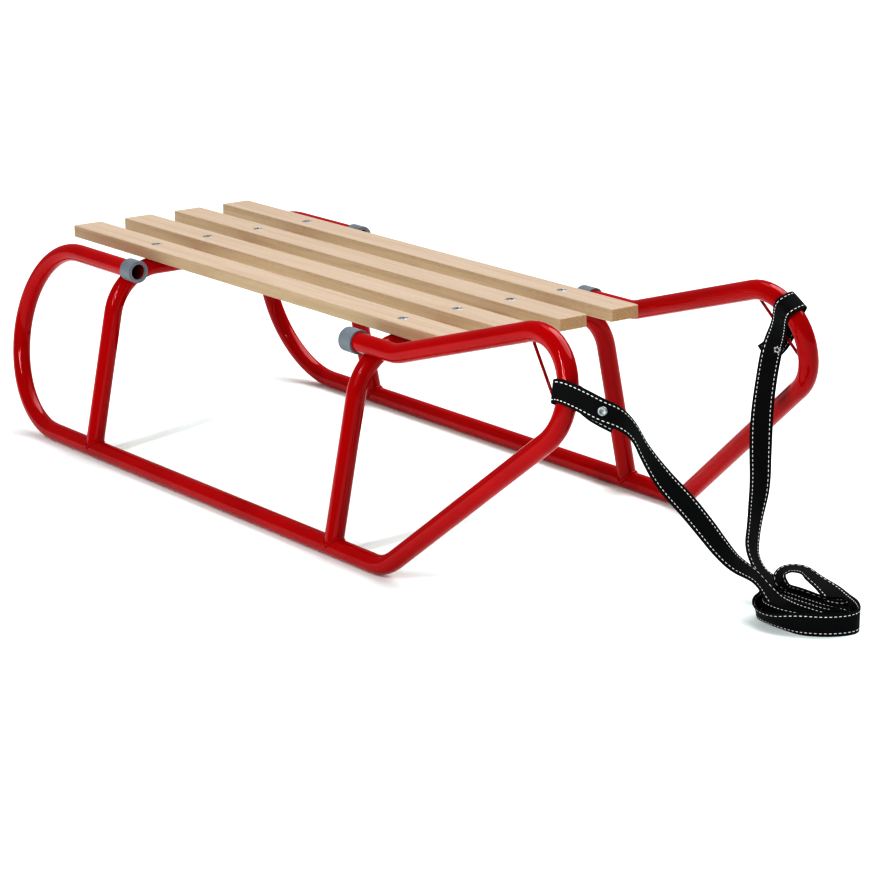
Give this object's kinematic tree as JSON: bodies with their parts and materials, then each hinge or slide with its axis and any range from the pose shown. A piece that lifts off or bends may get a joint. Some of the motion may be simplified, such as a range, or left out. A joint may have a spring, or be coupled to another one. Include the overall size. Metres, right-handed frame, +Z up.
{
  "type": "sled",
  "caption": "Steel-tube sled: two bent side frames welded to arches, a slatted wooden seat, open tube sockets and a webbing tow strap coiled in front.",
  "frame": {"origin": "on the ground, midway along and across the sled without its strap", "axes": "+X forwards to the noses, +Y left, +Z up; the runners lie along X on Z = 0"},
  "size_m": [1.1608, 0.4044, 0.2805],
  "materials": {
    "frame": "gloss powder coat",
    "rod": "gloss powder coat",
    "slat": "planed beech, clear lacquer",
    "sleeve": "moulded, fine grain",
    "webbing": "woven, white edge stitching",
    "fixing": "bright zinc"
  },
  "bodies": {
    "root": {"side_frame_right": "frame", "side_frame_left": "frame", "arch_rear": "frame", "arch_front": "frame", "strap_rod_right": "rod", "strap_rod_left": "rod", "slat_1": "slat", "slat_2": "slat", "slat_3": "slat", "slat_4": "slat", "sleeve_rear_right": "sleeve", "sleeve_rear_left": "sleeve", "sleeve_front_right": "sleeve", "sleeve_front_left": "sleeve", "strap_loop_right": "webbing", "strap_loop_left": "webbing", "strap_run_right": "webbing", "strap_run_left": "webbing", "strap_coil": "webbing"}
  },
  "joints": []
}
